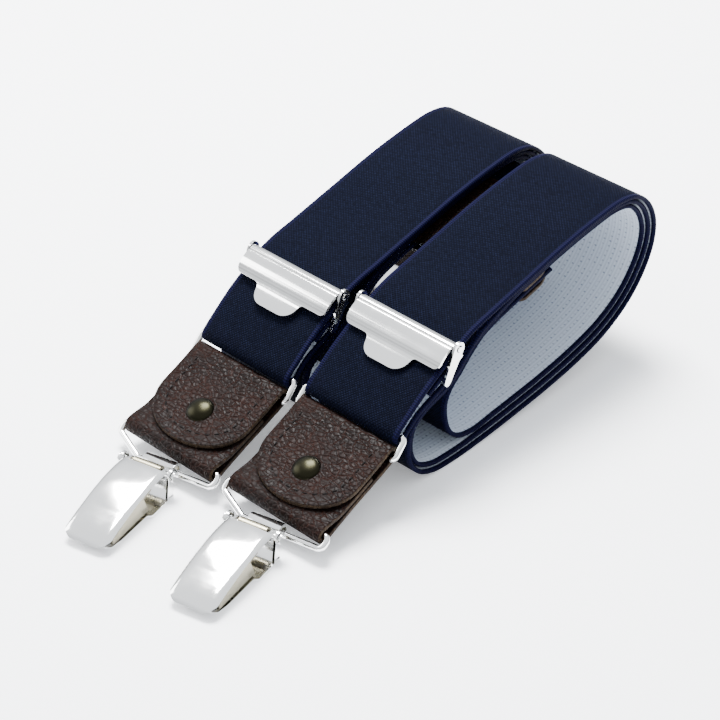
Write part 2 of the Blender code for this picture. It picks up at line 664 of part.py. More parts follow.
# ---------------------------------------------------------------- assembly
def main():
    clear_scene()
    navy = material("navy elastic", (0.012, 0.020, 0.048), 0.85)
    chrome = material("polished nickel", (0.86, 0.86, 0.85), 0.12, 1.0)
    steel = material("spring steel", (0.62, 0.60, 0.54), 0.3, 1.0)
    leather = material("brown leather", (0.075, 0.042, 0.032), 0.55)
    brass = material("antique brass", (0.22, 0.20, 0.13), 0.35, 1.0)
    grey = material("grip pad", (0.55, 0.55, 0.53), 0.6)

    for side, front in FRONTS.items():
        make_strap(f"elastic_strap_{side}", front, navy)
        make_slider(side, front, chrome)
        x, ring = front["x"], front["ring"]
        make_ring(f"ring_{side}", front_place(x, ring, RING_SLOPE), chrome)
        lower = step_down(ring, RING_DROP, RING_SLOPE)
        tab_place = front_place(x, lower, TAB_SLOPE)
        make_tab(side, tab_place, front["lean"], leather, brass)
        x += front["lean"]
        loop = step_down(lower, TAB_LENGTH, TAB_SLOPE)
        make_loop(f"wire_loop_{side}", front_place(x, loop, LOOP_SLOPE), NECK_SKEW, chrome)
        neck = step_down(loop, LOOP_DROP, LOOP_SLOPE)
        make_clip(side, front_place(x, neck, 0.0, math.radians(front["yaw"])), chrome, steel, grey)

    make_yoke_plate("yoke_front", YOKE_CORE - YOKE_LEATHER - GAP, leather)
    make_yoke_plate("yoke_back", YOKE_CORE + WEB + GAP, leather)
    make_rear_strap("elastic_strap_rear", navy)
    ring = rear_run()[1]
    make_ring("ring_rear", rear_place(REAR_X, ring, REAR_RING_SLOPE), chrome)
    lower = step_down(ring, RING_DROP, REAR_RING_SLOPE)
    make_tab("rear", rear_place(REAR_X, lower, REAR_TAB_SLOPE), 0.0, leather, brass)
    loop = step_down(lower, TAB_LENGTH, REAR_TAB_SLOPE)
    make_loop("wire_loop_rear", rear_place(REAR_X, loop, REAR_LOOP_SLOPE), 0.0, chrome)
    neck = step_down(loop, LOOP_DROP, REAR_LOOP_SLOPE)
    make_clip("rear", rear_place(REAR_X, neck, REAR_CLIP_SLOPE), chrome, steel, grey)
    for piece in bpy.data.collections["suspenders"].objects:
        piece.matrix_world = Matrix.Translation(CENTRING) @ piece.matrix_world


if __name__ == "__main__":
    main()
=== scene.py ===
"""Looks for the wound clip-on suspenders: webbing, leather, nickel fittings, studio."""
import math

import bmesh
import bpy
from mathutils import Matrix, Vector


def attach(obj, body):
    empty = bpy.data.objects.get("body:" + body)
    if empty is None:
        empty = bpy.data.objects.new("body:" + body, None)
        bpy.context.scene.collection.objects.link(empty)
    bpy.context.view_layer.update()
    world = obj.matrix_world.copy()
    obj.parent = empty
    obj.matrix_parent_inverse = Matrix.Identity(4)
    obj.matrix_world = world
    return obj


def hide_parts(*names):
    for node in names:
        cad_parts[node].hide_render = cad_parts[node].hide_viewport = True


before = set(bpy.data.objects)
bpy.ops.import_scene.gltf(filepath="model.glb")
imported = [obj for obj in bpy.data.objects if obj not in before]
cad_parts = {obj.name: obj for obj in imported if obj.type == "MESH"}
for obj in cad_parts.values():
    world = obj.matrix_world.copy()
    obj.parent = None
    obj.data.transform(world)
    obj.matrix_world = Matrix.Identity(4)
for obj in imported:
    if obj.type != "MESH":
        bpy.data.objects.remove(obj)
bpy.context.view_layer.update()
PI = math.pi
SCENE = bpy.context.scene

# ---------------------------------------------------------------- sizes, as in the CAD
STRAP_WIDTH = 0.035
STRAP_PITCH_X = 0.0403
WEB = 0.0013
GAP = 0.0003
LAYER = WEB + 0.0005
COIL_DRIFT = 0.0025
RING_WIRE = 0.0009
RING_HALF = 0.01875
RING_DROP = 0.00673
LOOP_WIRE = 0.0010
LOOP_HALF = 0.0189
LOOP_NECK = 0.0080
LOOP_DROP = 0.0063
NECK_SKEW = math.radians(7.5)
LEATHER = 0.0014
TAB_LENGTH = 0.02907
RIVET_AT = 0.0160
COIL_OUTER = [(0.012, 0.0439), (0.030, 0.0482), (0.046, 0.0520), (0.062, 0.0547),
              (0.073, 0.0556), (0.081, 0.0538), (0.087, 0.0486), (0.0905, 0.0410),
              (0.0903, 0.0330), (0.0868, 0.0248), (0.080, 0.0168), (0.070, 0.0106),
              (0.058, 0.0067), (0.044, 0.0040), (0.028, 0.0020), (0.014, 0.0007),
              (0.003, 0.0002)]
NEAR_FOLD = [(-0.006, 0.0009), (-0.0122, 0.0038), (-0.0160, 0.0092), (-0.0169, 0.0160),
             (-0.0150, 0.0216), (-0.0105, 0.0252), (-0.0055, 0.0271), (-0.001, 0.0285),
             (0.0035, 0.0316), (0.008, 0.0360), (0.0135, 0.0402)]
INNER_WALL = [(0.0125, 0.0047), (0.0062, 0.0062), (0.0022, 0.0105), (0.0006, 0.0165),
              (0.0007, 0.0210), (0.0026, 0.0246), (0.0067, 0.0284), (0.0112, 0.0327),
              (0.0162, 0.0364)]
YOKE_LEATHER = 0.0012
YOKE_CORE = 2 * LAYER + WEB + YOKE_LEATHER + 2 * GAP
YOKE_X = -0.0025
YOKE_HALF = 0.0378
FRONTS = {
    "right": {"x": STRAP_PITCH_X / 2, "slider": (0.0013, 0.0407), "ring": (-0.0204, 0.0217),
              "lean": 0.0016, "yaw": 12.5},
    "left": {"x": -STRAP_PITCH_X / 2, "slider": (-0.0020, 0.0409), "ring": (-0.0222, 0.0217),
             "lean": 0.0014, "yaw": 13.5},
}
SLIDER_SLOPE = math.radians(33.5)
RING_SLOPE = math.radians(48.0)
TAB_SLOPE = math.radians(19.5)
LOOP_SLOPE = math.radians(39.2)
SLIDER_BAR = (0.0088, -0.0052)
REAR_X = -0.0215
REAR_TURN = 0.0290
REAR_RING_SLOPE = math.radians(40.0)
REAR_TAB_SLOPE = math.radians(16.5)
REAR_LOOP_SLOPE = math.radians(-18.0)
REAR_CLIP_SLOPE = math.radians(4.5)
COIL_NESTED = 0.0290
YOKE_NEAR, YOKE_FAR = 0.0310, 0.0640
YOKE_STRAP_END = 0.0450
SLIDER_PIN = 0.0008
SEWN_BAR = 0.0006
PIN_CLEAR = SLIDER_PIN + GAP + 0.0001
PLATE = 0.0008
PIN_Y, PIN_Z = 0.0062, 0.0040
COVER_HALF = 0.0074
COVER_START, COVER_TIP = 0.0082, 0.0378
COVER_CORNER = 0.0035
CENTRING = Vector((-0.0001, 0.0028, -0.00021))
SHIFT = Matrix.Translation(CENTRING)


# ---------------------------------------------------------------- frames and curves
def placement(origin, along, outward):
    y = Vector(along).normalized()
    z = (Vector(outward) - y * Vector(outward).dot(y)).normalized()
    turn = Matrix((y.cross(z), y, z)).transposed().to_4x4()
    return SHIFT @ Matrix.Translation(Vector(origin)) @ turn


def front_place(x, point, slope, yaw=0.0):
    turn = Matrix.Rotation(yaw, 3, "Z")
    along = turn @ Vector((0.0, -math.cos(slope), -math.sin(slope)))
    outward = turn @ Vector((0.0, -math.sin(slope), math.cos(slope)))
    return placement((x, point[0], point[1]), along, outward)


def rear_place(x, point, slope):
    along = (0.0, -math.cos(slope), -math.sin(slope))
    outward = (0.0, math.sin(slope), -math.cos(slope))
    return placement((x, point[0], point[1]), along, outward)


def step_down(point, length, slope):
    return (point[0] - length * math.cos(slope), point[1] - length * math.sin(slope))


def smooth(points, spacing=0.0004):
    """Centripetal Catmull-Rom curve through (y, z) points, sampled finely."""
    pts = [Vector(p) for p in points]
    pts = [pts[0] * 2 - pts[1]] + pts + [pts[-1] * 2 - pts[-2]]
    out = []
    for i in range(1, len(pts) - 2):
        p0, p1, p2, p3 = pts[i - 1:i + 3]
        t1 = (p1 - p0).length ** 0.5
        t2 = t1 + (p2 - p1).length ** 0.5
        t3 = t2 + (p3 - p2).length ** 0.5
        count = max(2, int((p2 - p1).length / spacing))
        for k in range(count):
            t = t1 + (t2 - t1) * k / count
            a1 = p0 * ((t1 - t) / t1) + p1 * (t / t1)
            a2 = p1 * ((t2 - t) / (t2 - t1)) + p2 * ((t - t1) / (t2 - t1))
            a3 = p2 * ((t3 - t) / (t3 - t2)) + p3 * ((t - t2) / (t3 - t2))
            b1 = a1 * ((t2 - t) / t2) + a2 * (t / t2)
            b2 = a2 * ((t3 - t) / (t3 - t1)) + a3 * ((t - t1) / (t3 - t1))
            out.append(b1 * ((t2 - t) / (t2 - t1)) + b2 * ((t - t1) / (t2 - t1)))
    out.append(pts[-2])
    return out


def side_of(points, i):
    a = points[max(i - 1, 0)]
    b = points[min(i + 1, len(points) - 1)]
    run = (b - a).normalized()
    return Vector((run.y, -run.x))


def inset(points, distance):
    return [p + side_of(points, i) * distance for i, p in enumerate(points)]


def even(points, step):
    """The path resampled at an even spacing."""
    out = [points[0]]
    carry = 0.0
    for a, b in zip(points, points[1:]):
        length = (b - a).length
        at = step - carry
        while at <= length:
            out.append(a + (b - a) * (at / length))
            at += step
        carry = (carry + length) % step
    if (out[-1] - points[-1]).length > step * 0.4:
        out.append(points[-1])
    else:
        out[-1] = points[-1]
    return out


def arc(centre, radius, start, end, count):
    angles = [start + (end - start) * k / count for k in range(count + 1)]
    return [Vector((centre[0] + radius * math.cos(a), centre[1] + radius * math.sin(a)))
            for a in angles]


def lengths(path):
    out = [0.0]
    for a, b in zip(path, path[1:]):
        out.append(out[-1] + (b - a).length)
    return out


def creep(path, start, end, amount):
    length = lengths(path)
    begin, finish = start * length[-1], end * length[-1]
    return [amount * min(1.0, max(0.0, (s - begin) / (finish - begin))) for s in length]


# ---------------------------------------------------------------- paths of the webbing
def half_turn(centre, away, radius):
    left = Vector((-away.y, away.x))
    return [centre + (left * math.cos(a) + away * math.sin(a)) * radius
            for a in (PI * k / 4 for k in range(5))]


def coil_turn(depth, start=0.0, end=1.0, spacing=5):
    turn = inset(smooth(COIL_OUTER + NEAR_FOLD), depth)
    first = next(i for i, p in enumerate(turn) if p.x >= start)
    last = int((len(turn) - 1) * end)
    return turn[first:last:spacing]


def yoke_line(y, depth=YOKE_CORE + WEB / 2):
    line = inset(smooth(COIL_OUTER[:6]), depth)
    return min(line, key=lambda p: abs(p.x - y))


def strap_path(front):
    slider = Vector(front["slider"])
    down = Vector((-math.cos(SLIDER_SLOPE), -math.sin(SLIDER_SLOPE)))
    out = Vector((-math.sin(SLIDER_SLOPE), math.cos(SLIDER_SLOPE)))
    bar = slider + down * SLIDER_BAR[0] + out * SLIDER_BAR[1]
    ring = Vector(front["ring"])
    run = (ring - bar).normalized()
    face = Vector((run.y, -run.x))
    round_bar = half_turn(bar, -run, SEWN_BAR + GAP + WEB / 2)
    round_ring = half_turn(ring, run, RING_WIRE + GAP + WEB / 2)
    tail = [round_bar[0] + run * 0.0060, round_bar[0] + run * 0.0030]
    leg = round_ring[0] - round_bar[-1]
    back_leg = [round_bar[-1] + leg * part + face * rise
                for part, rise in ((0.30, 0.0007), (0.60, 0.0014), (0.85, 0.0007))]
    under_pin = slider - out * (PIN_CLEAR + WEB / 2)
    leg = under_pin - round_ring[-1]
    front_leg = [round_ring[-1] + leg * part + face * rise
                 for part, rise in ((0.2, 0.0005), (0.5, 0.0009), (0.8, 0.0004))]
    join = (under_pin + Vector(COIL_OUTER[0])) / 2 + Vector((0.0002, 0.0002))
    middle = WEB / 2
    points = tail + round_bar + back_leg + round_ring + front_leg + [under_pin, join]
    points += coil_turn(middle)
    points += coil_turn(middle + LAYER, COIL_NESTED)
    points += [p for p in coil_turn(middle + 2 * LAYER, COIL_NESTED, 0.70) if p.y > 0.03
               or p.x > 0.020]
    points += [Vector(p) for p in INNER_WALL]
    points += [yoke_line(y) for y in (0.032, 0.038, YOKE_STRAP_END)]
    return smooth(points)


def rear_run():
    turn = coil_turn(YOKE_CORE + WEB / 2, YOKE_STRAP_END + 0.0025, spacing=1)
    last = next(i for i, p in enumerate(turn) if p.x > 0.07 and p.y < REAR_TURN)
    run = (turn[last] - turn[last - 4]).normalized()
    face = Vector((run.y, -run.x))
    ring = turn[last] + face * (RING_WIRE + GAP + WEB / 2)
    return turn[:last:5], ring, run


def rear_path():
    points, ring, run = rear_run()
    turn = half_turn(ring, run, RING_WIRE + GAP + WEB / 2)
    face = Vector((run.y, -run.x))
    back = [turn[-1] - run * 0.004 + face * 0.0002, turn[-1] - run * 0.010 + face * 0.0009]
    return smooth(points + turn + back)


# ---------------------------------------------------------------- materials
def link(tree, source, target):
    tree.links.new(source, target)


class Look:
    """A Principled material with short calls for its nodes."""

    def __init__(self, name, colour=(0.5, 0.5, 0.5), roughness=0.5, metallic=0.0):
        self.material = bpy.data.materials.new(name)
        self.material.use_nodes = True
        self.tree = self.material.node_tree
        self.shader = self.tree.nodes["Principled BSDF"]
        self.shader.inputs["Base Color"].default_value = (*colour, 1.0)
        self.shader.inputs["Roughness"].default_value = roughness
        self.shader.inputs["Metallic"].default_value = metallic

    def put(self, socket, value):
        if isinstance(value, bpy.types.NodeSocket):
            self.tree.links.new(value, socket)
        elif isinstance(value, tuple) and len(value) == 3 and socket.type == "RGBA":
            socket.default_value = (*value, 1.0)
        else:
            socket.default_value = value

    def node(self, kind, inputs=(), **props):
        made = self.tree.nodes.new("ShaderNode" + kind)
        for key, value in props.items():
            setattr(made, key, value)
        for key, value in dict(inputs).items():
            self.put(made.inputs[key], value)
        return made

    def math(self, operation, a, b=0.0):
        return self.node("Math", {0: a, 1: b}, operation=operation).outputs[0]

    def mix(self, factor, a, b):
        made = self.node("Mix", data_type="RGBA")
        self.put(made.inputs["Factor"], factor)
        self.put(made.inputs[6], a)
        self.put(made.inputs[7], b)
        return made.outputs[2]

    def ramp(self, value, low, high):
        made = self.node("MapRange", {"Value": value, "From Min": low, "From Max": high})
        return made.outputs[0]

    def set(self, **values):
        for key, value in values.items():
            self.put(self.shader.inputs[key.replace("_", " ")], value)

    def bump(self, height, distance, strength=1.0):
        made = self.node("Bump", {"Height": height, "Distance": distance,
                                  "Strength": strength})
        self.tree.links.new(made.outputs[0], self.shader.inputs["Normal"])

    def uv(self):
        both = self.node("SeparateXYZ", {0: self.node("UVMap").outputs[0]})
        return both.outputs[0], both.outputs[1]

    def noise(self, scale, detail=3.0, where=None, roughness=0.5):
        inputs = {"Scale": scale, "Detail": detail, "Roughness": roughness}
        if where is None:
            where = self.node("TexCoord").outputs["Object"]
        inputs["Vector"] = where
        return self.node("TexNoise", inputs).outputs["Fac"]


def wave(look, value, pitch, phase=0.0):
    """Sine of a length in metres, one period each pitch."""
    turned = look.math("MULTIPLY", value, 2 * PI / pitch)
    return look.math("SINE", look.math("ADD", turned, phase))


def navy_weave():
    look = Look("navy birdseye weave", roughness=0.82)
    u, v = look.uv()
    dots = look.math("MULTIPLY", wave(look, u, 0.00105), wave(look, v, 0.00105))
    raised = look.ramp(dots, -0.25, 0.75)
    worn = look.noise(900.0, 2.0)
    broad = look.noise(60.0, 2.0)
    pale = look.math("MULTIPLY", raised, look.ramp(worn, 0.25, 0.75))
    dark = look.mix(broad, (0.0002, 0.0005, 0.0026), (0.0003, 0.0007, 0.0034))
    colour = look.mix(pale, dark, (0.0038, 0.0056, 0.0165))
    rib = wave(look, v, 0.00052)
    height = look.math("ADD", raised, look.math("MULTIPLY", rib, 0.25))
    look.set(Base_Color=colour, Specular_IOR_Level=0.03)
    look.bump(height, 0.00012, 0.8)
    return look.material


def selvage_weave():
    look = Look("navy selvage", roughness=0.7)
    u, v = look.uv()
    rib = wave(look, v, 0.0007)
    cord = wave(look, u, 0.0008)
    colour = look.mix(look.ramp(rib, -1.0, 1.0), (0.0007, 0.0008, 0.0062),
                      (0.0020, 0.0023, 0.0190))
    look.set(Base_Color=colour, Specular_IOR_Level=0.04)
    look.bump(look.math("ADD", rib, cord), 0.00008, 0.7)
    return look.material


def pale_weave():
    look = Look("pale elastic back", roughness=0.85)
    u, v = look.uv()
    rib = look.ramp(wave(look, u, 0.0011), -1.0, 1.0)
    shot = look.ramp(wave(look, v, 0.0016, 0.7), 0.35, 0.95)
    speck = look.math("MULTIPLY", shot, look.ramp(wave(look, u, 0.0022), 0.1, 0.8))
    patchy = look.math("MULTIPLY", speck, look.ramp(look.noise(1400.0, 2.0), 0.35, 0.6))
    base = look.mix(rib, (0.40, 0.45, 0.53), (0.50, 0.555, 0.63))
    colour = look.mix(look.math("MULTIPLY", patchy, 0.75), base, (0.10, 0.12, 0.19))
    look.set(Base_Color=colour, Specular_IOR_Level=0.2, Sheen_Weight=0.1)
    look.bump(look.math("SUBTRACT", look.math("MULTIPLY", rib, 0.5), patchy), 0.00009, 0.7)
    return look.material


def leather_look(name, dark, light, warm):
    look = Look(name, roughness=0.5)
    where = look.node("TexCoord").outputs["Object"]
    cells = look.node("TexVoronoi", {"Scale": 640.0, "Vector": where, "Randomness": 1.0},
                      feature="DISTANCE_TO_EDGE").outputs["Distance"]
    pebbles = look.ramp(cells, 0.0, 0.28)
    warp = look.node("Mapping", {"Vector": where, "Scale": (1.0, 2.6, 1.0),
                                 "Rotation": (0.0, 0.0, 0.7)}).outputs[0]
    crease = look.node("TexVoronoi", {"Scale": 260.0, "Vector": warp, "Randomness": 1.0},
                       feature="DISTANCE_TO_EDGE").outputs["Distance"]
    crease = look.ramp(crease, 0.0, 0.07)
    broad = look.noise(120.0, 4.0, where, 0.6)
    fine = look.noise(2600.0, 2.0, where)
    tone = look.ramp(broad, 0.32, 0.68)
    colour = look.mix(tone, dark, light)
    colour = look.mix(look.math("MULTIPLY", look.ramp(look.noise(70.0, 1.0, where), 0.45, 0.7),
                                0.6), colour, warm)
    colour = look.mix(look.math("MULTIPLY", look.math("SUBTRACT", 1.0, pebbles), 0.55), colour,
                      tuple(c * 0.35 for c in dark))
    lines = look.math("MULTIPLY", look.math("SUBTRACT", 1.0, crease), 0.5)
    colour = look.mix(lines, colour, tuple(c * 1.5 for c in warm))
    height = look.math("ADD", look.math("MULTIPLY", pebbles, 0.8),
                       look.math("ADD", look.math("MULTIPLY", crease, 0.7),
                                 look.math("MULTIPLY", broad, 1.6)))
    height = look.math("ADD", height, look.math("MULTIPLY", fine, 0.05))
    rough = look.node("MapRange", {"Value": broad, "From Min": 0.3, "From Max": 0.7,
                                   "To Min": 0.36, "To Max": 0.56}).outputs[0]
    look.set(Base_Color=colour, Roughness=rough, Specular_IOR_Level=0.055)
    look.bump(height, 0.00017, 1.0)
    return look.material


def metal(name, colour, roughness, scratch=0.03, mottled=0.0):
    look = Look(name, colour, roughness, 1.0)
    where = look.node("TexCoord").outputs["Object"]
    stretched = look.node("Mapping", {"Vector": where, "Scale": (1.0, 0.08, 1.0)}).outputs[0]
    lines = look.noise(4200.0, 2.0, stretched)
    smear = look.noise(160.0, 3.0, where)
    rough = look.node("MapRange", {"Value": smear, "From Min": 0.3, "From Max": 0.7,
                                   "To Min": roughness * 0.75,
                                   "To Max": roughness * 1.4}).outputs[0]
    tone = look.math("MULTIPLY", look.ramp(smear, 0.35, 0.7), mottled)
    shade = look.mix(tone, colour, tuple(c * 0.45 for c in colour))
    look.set(Base_Color=shade, Roughness=rough)
    look.bump(lines, 0.00002, scratch)
    return look.material


def plain(name, colour, roughness, grain=1500.0):
    look = Look(name, colour, roughness)
    soft = look.noise(grain, 3.0)
    shade = look.mix(look.ramp(soft, 0.3, 0.7), tuple(c * 0.75 for c in colour), colour)
    look.set(Base_Color=shade, Specular_IOR_Level=0.08)
    look.bump(soft, 0.00008, 0.6)
    return look.material


NAVY = navy_weave()
SELVAGE = selvage_weave()
PALE = pale_weave()
HIDE = leather_look("brown leather", (0.0026, 0.0010, 0.0007), (0.0066, 0.0029, 0.0023),
                    (0.0112, 0.0030, 0.0015))
HIDE_EDGE = leather_look("leather edge", (0.020, 0.013, 0.010), (0.050, 0.036, 0.024),
                         (0.040, 0.024, 0.012))
THREAD = plain("waxed thread", (0.0012, 0.0007, 0.0007), 0.7, 3000.0)
NICKEL = metal("polished nickel", (0.88, 0.88, 0.87), 0.10)
# the clip jaw is nickel; its dark, warm colour is a painted reflection of the brown leather
NICKEL_LEATHER_REFLECTION = metal("nickel with painted leather reflection", (0.24, 0.22, 0.16), 0.24, 0.06)
BRASS = metal("antique brass", (0.013, 0.0125, 0.0072), 0.28, 0.05, 0.35)
PAD = plain("moulded grip pad", (0.45, 0.45, 0.43), 0.55)


# ---------------------------------------------------------------- making pieces
def new_object(name, mesh, materials, place=SHIFT):
    made = bpy.data.objects.new(name, mesh)
    SCENE.collection.objects.link(made)
    made.matrix_world = place
    for item in materials:
        mesh.materials.append(item)
    return made


def soften(piece, angle=35.0):
    mesh = piece.data
    mesh.shade_smooth()
    mesh.set_sharp_from_angle(angle=math.radians(angle))
    return piece


def settle(piece, body, slot, *nodes):
    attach(piece, body)
    if nodes:
        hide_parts(*nodes)
    return piece


def bevelled(piece, width, segments=2, angle=35.0):
    change = piece.modifiers.new("edges", "BEVEL")
    change.width = width
    change.segments = segments
    change.limit_method = "ANGLE"
    change.angle_limit = math.radians(angle)
    change.harden_normals = True
    return piece


def refined(node, body, slot, look, width=0.00012, segments=2):
    """A CAD piece's own shape with its edges rounded over."""
    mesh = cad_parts[node].data.copy()
    mesh.materials.clear()
    work = bmesh.new()
    work.from_mesh(mesh)
    bmesh.ops.remove_doubles(work, verts=work.verts, dist=0.000005)
    bmesh.ops.dissolve_limit(work, angle_limit=math.radians(1.0), verts=work.verts,
                             edges=work.edges)
    work.to_mesh(mesh)
    work.free()
    piece = new_object(node + "_finish", mesh, [look], Matrix.Identity(4))
    soften(piece, 30.0)
    bevelled(piece, width, segments)
    return settle(piece, body, slot, node)


def band(name, path, halves, shifts, section, looks, place, looks_of):
    """Band along a (y, z) path. section lists (edge, inward, offset) corners of its outline:

    x = edge * (half width - inward), offset is across the thickness, outer side first.
    looks_of gives each outline side's material index.
    """
    count = len(path)
    length = lengths(path)
    halves = halves if isinstance(halves, list) else [halves] * count
    mesh = bmesh.new()
    layer = mesh.loops.layers.uv.new("UVMap")
    rings = []
    for i, p in enumerate(path):
        side = side_of(path, i)
        ring = []
        for edge, inward, offset in section:
            x = shifts[i] + edge * max(0.00002, halves[i] - inward)
            at = p + side * offset
            ring.append(mesh.verts.new((x, at.x, at.y)))
        rings.append(ring)
    sides = len(section)
    across = [edge * (halves[count // 2] - inward) for edge, inward, _ in section]
    for i in range(count - 1):
        a, b = rings[i], rings[i + 1]
        for k in range(sides):
            j = (k + 1) % sides
            face = mesh.faces.new((a[k], a[j], b[j], b[k]))
            face.material_index = looks_of[k]
            face.smooth = True
            uvs = ((across[k], length[i]), (across[j], length[i]),
                   (across[j], length[i + 1]), (across[k], length[i + 1]))
            for loop, uv in zip(face.loops, uvs):
                loop[layer].uv = uv
    mesh.faces.new(rings[0][::-1])
    mesh.faces.new(rings[-1])
    bmesh.ops.recalc_face_normals(mesh, faces=mesh.faces)
    data = bpy.data.meshes.new(name)
    mesh.to_mesh(data)
    mesh.free()
    piece = new_object(name, data, looks, place)
    return piece


def mirrored(right):
    """Section corners of the outer side left to right, then the inner side back."""
    outer = [(-1, inward, -offset) for inward, offset in right]
    outer += [(1, inward, -offset) for inward, offset in reversed(right)]
    inner = [(1, inward, offset) for inward, offset in right]
    inner += [(-1, inward, offset) for inward, offset in reversed(right)]
    return outer + inner


H = WEB / 2
WEB_EDGE = [(0.0, 0.12 * WEB), (0.00008, 0.30 * WEB), (0.00030, 0.46 * WEB), (0.0007, H),
            (0.0012, H), (0.00145, H * 0.86), (0.0018, H), (0.0075, H), (0.0140, H)]
WEB_SECTION = mirrored(WEB_EDGE)
WEB_LOOKS = ([1] * 5 + [0] * 7 + [1] * 5 + [1]) + ([1] * 4 + [2] * 9 + [1] * 5)


def make_strap(name, path, shifts, x, node):
    path_even = even(path, 0.0012)
    drift = creep(path_even, *shifts)
    piece = band(name, path_even, STRAP_WIDTH / 2, drift, WEB_SECTION,
                 [NAVY, SELVAGE, PALE], SHIFT @ Matrix.Translation((x, 0.0, 0.0)),
                 WEB_LOOKS)
    soften(piece, 50.0)
    settle(piece, "webbing", "navy_elastic", node)
    return piece


# ---------------------------------------------------------------- round wire
def rounded(corners, radii, steps=8):
    out = []
    count = len(corners)
    for i, radius in enumerate(radii):
        here = Vector(corners[i])
        to_last = (Vector(corners[i - 1]) - here).normalized()
        to_next = (Vector(corners[(i + 1) % count]) - here).normalized()
        half = to_last.angle(to_next) / 2
        centre = here + (to_last + to_next).normalized() * radius / math.sin(half)
        start = here + to_last * radius / math.tan(half) - centre
        sweep = start.angle_signed(here + to_next * radius / math.tan(half) - centre)
        for k in range(steps + 1):
            out.append(centre + Matrix.Rotation(-sweep * k / steps, 2) @ start)
    return out


def wire_loop(name, corners, radii, radius, place, body, node):
    curve = bpy.data.curves.new(name, "CURVE")
    curve.dimensions = "3D"
    curve.bevel_depth = radius
    curve.bevel_resolution = 6
    points = rounded(corners, radii)
    spline = curve.splines.new("POLY")
    spline.points.add(len(points) - 1)
    for point, (x, y) in zip(spline.points, points):
        point.co = (x, y, 0.0, 1.0)
    spline.use_cyclic_u = True
    piece = bpy.data.objects.new(name, curve)
    SCENE.collection.objects.link(piece)
    piece.matrix_world = place
    curve.materials.append(NICKEL)
    spline.use_smooth = True
    return settle(piece, body, "polished_nickel", node)


# ---------------------------------------------------------------- stamped plate
def stamped(name, outline, height, thickness, step_x, step_y, looks, place, edge=0.0002):
    """Flat outline in XY, cut into a fine grid, bent to height(x, y) and thickened below."""
    mesh = bmesh.new()
    mesh.faces.new([mesh.verts.new((x, y, 0.0)) for x, y in outline])
    xs = [x for x, _ in outline]
    ys = [y for _, y in outline]

    def cuts(low, high, step):
        count = max(1, int(round((high - low) / step)))
        return [low + (high - low) * k / count for k in range(1, count)]

    for values, axis in ((cuts(min(xs), max(xs), step_x), 0), (cuts(min(ys), max(ys), step_y), 1)):
        normal = [0.0, 0.0, 0.0]
        normal[axis] = 1.0
        for value in values:
            at = [0.0, 0.0, 0.0]
            at[axis] = value
            parts = mesh.verts[:] + mesh.edges[:] + mesh.faces[:]
            bmesh.ops.bisect_plane(mesh, geom=parts, dist=1e-7, plane_co=at, plane_no=normal)
    for v in mesh.verts:
        v.co.z = height(v.co.x, v.co.y)
    mesh.normal_update()
    if sum(f.normal.z for f in mesh.faces) < 0:
        bmesh.ops.reverse_faces(mesh, faces=mesh.faces)
    data = bpy.data.meshes.new(name)
    mesh.to_mesh(data)
    mesh.free()
    piece = new_object(name, data, looks, place)
    data.shade_smooth()
    shell = piece.modifiers.new("plate", "SOLIDIFY")
    shell.thickness = thickness
    shell.offset = -1.0
    shell.use_even_offset = True
    bevelled(piece, edge, 3, 50.0)
    return piece


def joined(name, pieces):
    """One object from several, with their modifiers applied."""
    graph = bpy.context.evaluated_depsgraph_get()
    whole = bmesh.new()
    materials = []
    base = pieces[0].matrix_world.copy()
    for piece in pieces:
        data = bpy.data.meshes.new_from_object(piece.evaluated_get(graph))
        data.transform(base.inverted() @ piece.matrix_world)
        table = {}
        for k, item in enumerate(data.materials):
            if item not in materials:
                materials.append(item)
            table[k] = materials.index(item)
        for face in data.polygons:
            face.material_index = table.get(face.material_index, 0)
        whole.from_mesh(data)
    data = bpy.data.meshes.new(name)
    whole.to_mesh(data)
    whole.free()
    for piece in pieces:
        bpy.data.objects.remove(piece, do_unlink=True)
    return new_object(name, data, materials, base)


# ---------------------------------------------------------------- leather tab
SLACK_FOLD = (-0.0011, 0.0004)   # middle of the fold over the ring; the wire cuts into it


def tab_path():
    over_ring = RING_WIRE + GAP + LEATHER / 2
    over_loop = LOOP_WIRE + GAP + LEATHER / 2
    points = [(0.0277, 0.0034), (0.0235, 0.0025), (0.0190, 0.0020), (0.0120, 0.0019),
              (0.0050, 0.0020)]
    points += [tuple(p) for p in arc(SLACK_FOLD, over_ring, PI / 2, 3 * PI / 2, 6)]
    points += [(0.0060, -0.0017), (0.0160, -0.0016), (0.0240, -0.0018)]
    points += [tuple(p) for p in arc((TAB_LENGTH, 0.0), over_loop, -PI / 2, PI / 2, 6)]
    points += [(0.0255, 0.0012), (0.0225, 0.0004), (0.0160, 0.0001), (0.0080, 0.0001)]
    return even(smooth(points, 0.0001), 0.0004)


TONGUE_TIP = 0.0277
TONGUE_STRAIGHT = 0.0130
TONGUE_END = 0.0020              # the strip has its full width past here
TONGUE_LEVEL, BACK_LEVEL = 0.0019, -0.0016
STITCH_START = 0.0015
STITCH_MARGIN = 0.0040
STITCH_PITCH = 0.0029
STITCH_LENGTH, STITCH_RADIUS = 0.0021, 0.00024
STITCH_LIFT = 0.00002
DOME_RADIUS, DOME_RISE = 0.0041, 0.0015
DOME_ARC = 1.35                  # from the dome's middle to its rim, in radians


def tongue_half(y):
    part = max(0.0, (y - TONGUE_STRAIGHT) / (TONGUE_TIP - TONGUE_STRAIGHT))
    return STRAP_WIDTH / 2 * max(0.0, 1.0 - min(1.0, part) ** 2.1) ** 0.5


HL = LEATHER / 2
HIDE_EDGE_LINE = [(0.0, 0.25 * LEATHER), (0.00012, 0.42 * LEATHER), (0.00040, HL),
                  (0.0030, HL), (0.0090, HL)]
HIDE_SECTION = mirrored(HIDE_EDGE_LINE)
HIDE_LOOKS = ([1] + [0] * 7 + [1, 1]) + ([1] + [0] * 7 + [1, 1])


